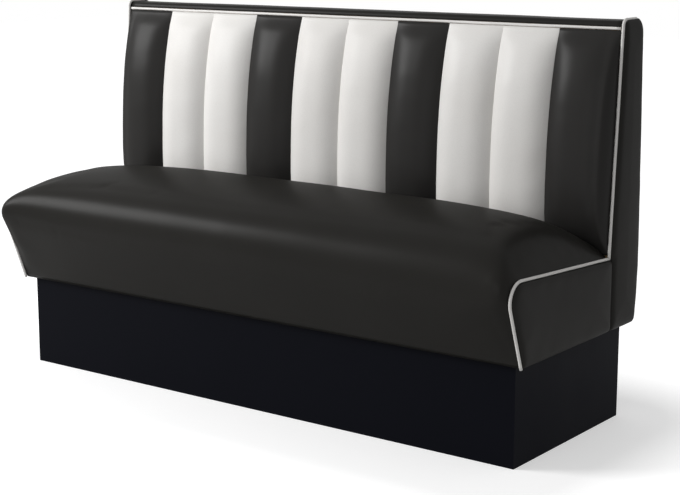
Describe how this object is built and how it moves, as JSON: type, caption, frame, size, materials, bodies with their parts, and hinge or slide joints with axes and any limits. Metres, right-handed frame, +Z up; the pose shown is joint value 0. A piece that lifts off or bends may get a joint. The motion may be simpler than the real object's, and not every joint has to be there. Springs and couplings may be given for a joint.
{
  "type": "restaurant booth seating",
  "caption": "Upholstered restaurant booth bench: crowned seat, back of padded vertical channels in contrasting colours, piped edges, plinth base.",
  "frame": {"origin": "on the floor, in the middle of the length and of the depth", "axes": "+X along the bench, +Y towards its rear, +Z up"},
  "size_m": [1.515, 0.6234, 0.937],
  "materials": {
    "black_laminate": "black laminate on board, satin",
    "plywood": "raw plywood",
    "pine": "sawn softwood",
    "hardboard": "smooth hardboard",
    "foam": "upholstery foam",
    "black_vinyl": "black upholstery vinyl, fine grain, soft sheen",
    "white_vinyl": "off-white upholstery vinyl, fine grain, soft sheen",
    "piping_vinyl": "off-white vinyl welt",
    "zinc_steel": "zinc plated steel"
  },
  "bodies": {
    "root": {"back_channel_01": "black_vinyl", "back_channel_02": "white_vinyl", "back_channel_03": "white_vinyl", "back_channel_04": "black_vinyl", "back_channel_05": "white_vinyl", "back_channel_06": "white_vinyl", "back_channel_07": "black_vinyl", "back_channel_08": "white_vinyl", "back_channel_09": "white_vinyl", "back_channel_10": "black_vinyl", "back_front_board": "plywood", "back_left_end_board": "plywood", "back_left_end_cover": "black_vinyl", "back_left_piping": "piping_vinyl", "back_lower_rail": "pine", "back_middle_rail": "pine", "back_rear_board": "hardboard", "back_rear_cover": "black_vinyl", "back_right_end_board": "plywood", "back_right_end_cover": "black_vinyl", "back_right_piping": "piping_vinyl", "back_sill": "pine", "back_stile_1": "plywood", "back_stile_2": "plywood", "back_stile_3": "plywood", "back_top_band": "black_vinyl", "back_top_piping": "piping_vinyl", "back_top_rail": "pine", "plinth_front_board": "black_laminate", "plinth_front_cleat": "pine", "plinth_front_left_block": "pine", "plinth_front_right_block": "pine", "plinth_left_board": "black_laminate", "plinth_rear_board": "black_laminate", "plinth_rear_cleat": "pine", "plinth_rear_left_block": "pine", "plinth_rear_right_block": "pine", "plinth_rib": "plywood", "plinth_right_board": "black_laminate", "plinth_screws": "zinc_steel", "seat_cover": "black_vinyl", "seat_deck": "plywood", "seat_foam": "foam", "seat_front_rail": "pine", "seat_front_sill": "pine", "seat_left_end_board": "plywood", "seat_left_end_cover": "black_vinyl", "seat_left_piping": "piping_vinyl", "seat_rear_rail": "pine", "seat_rib_1": "plywood", "seat_rib_2": "plywood", "seat_rib_3": "plywood", "seat_right_end_board": "plywood", "seat_right_end_cover": "black_vinyl", "seat_right_piping": "piping_vinyl", "unit_bolts": "zinc_steel", "unit_nuts": "zinc_steel", "unit_washers": "zinc_steel"}
  },
  "joints": []
}
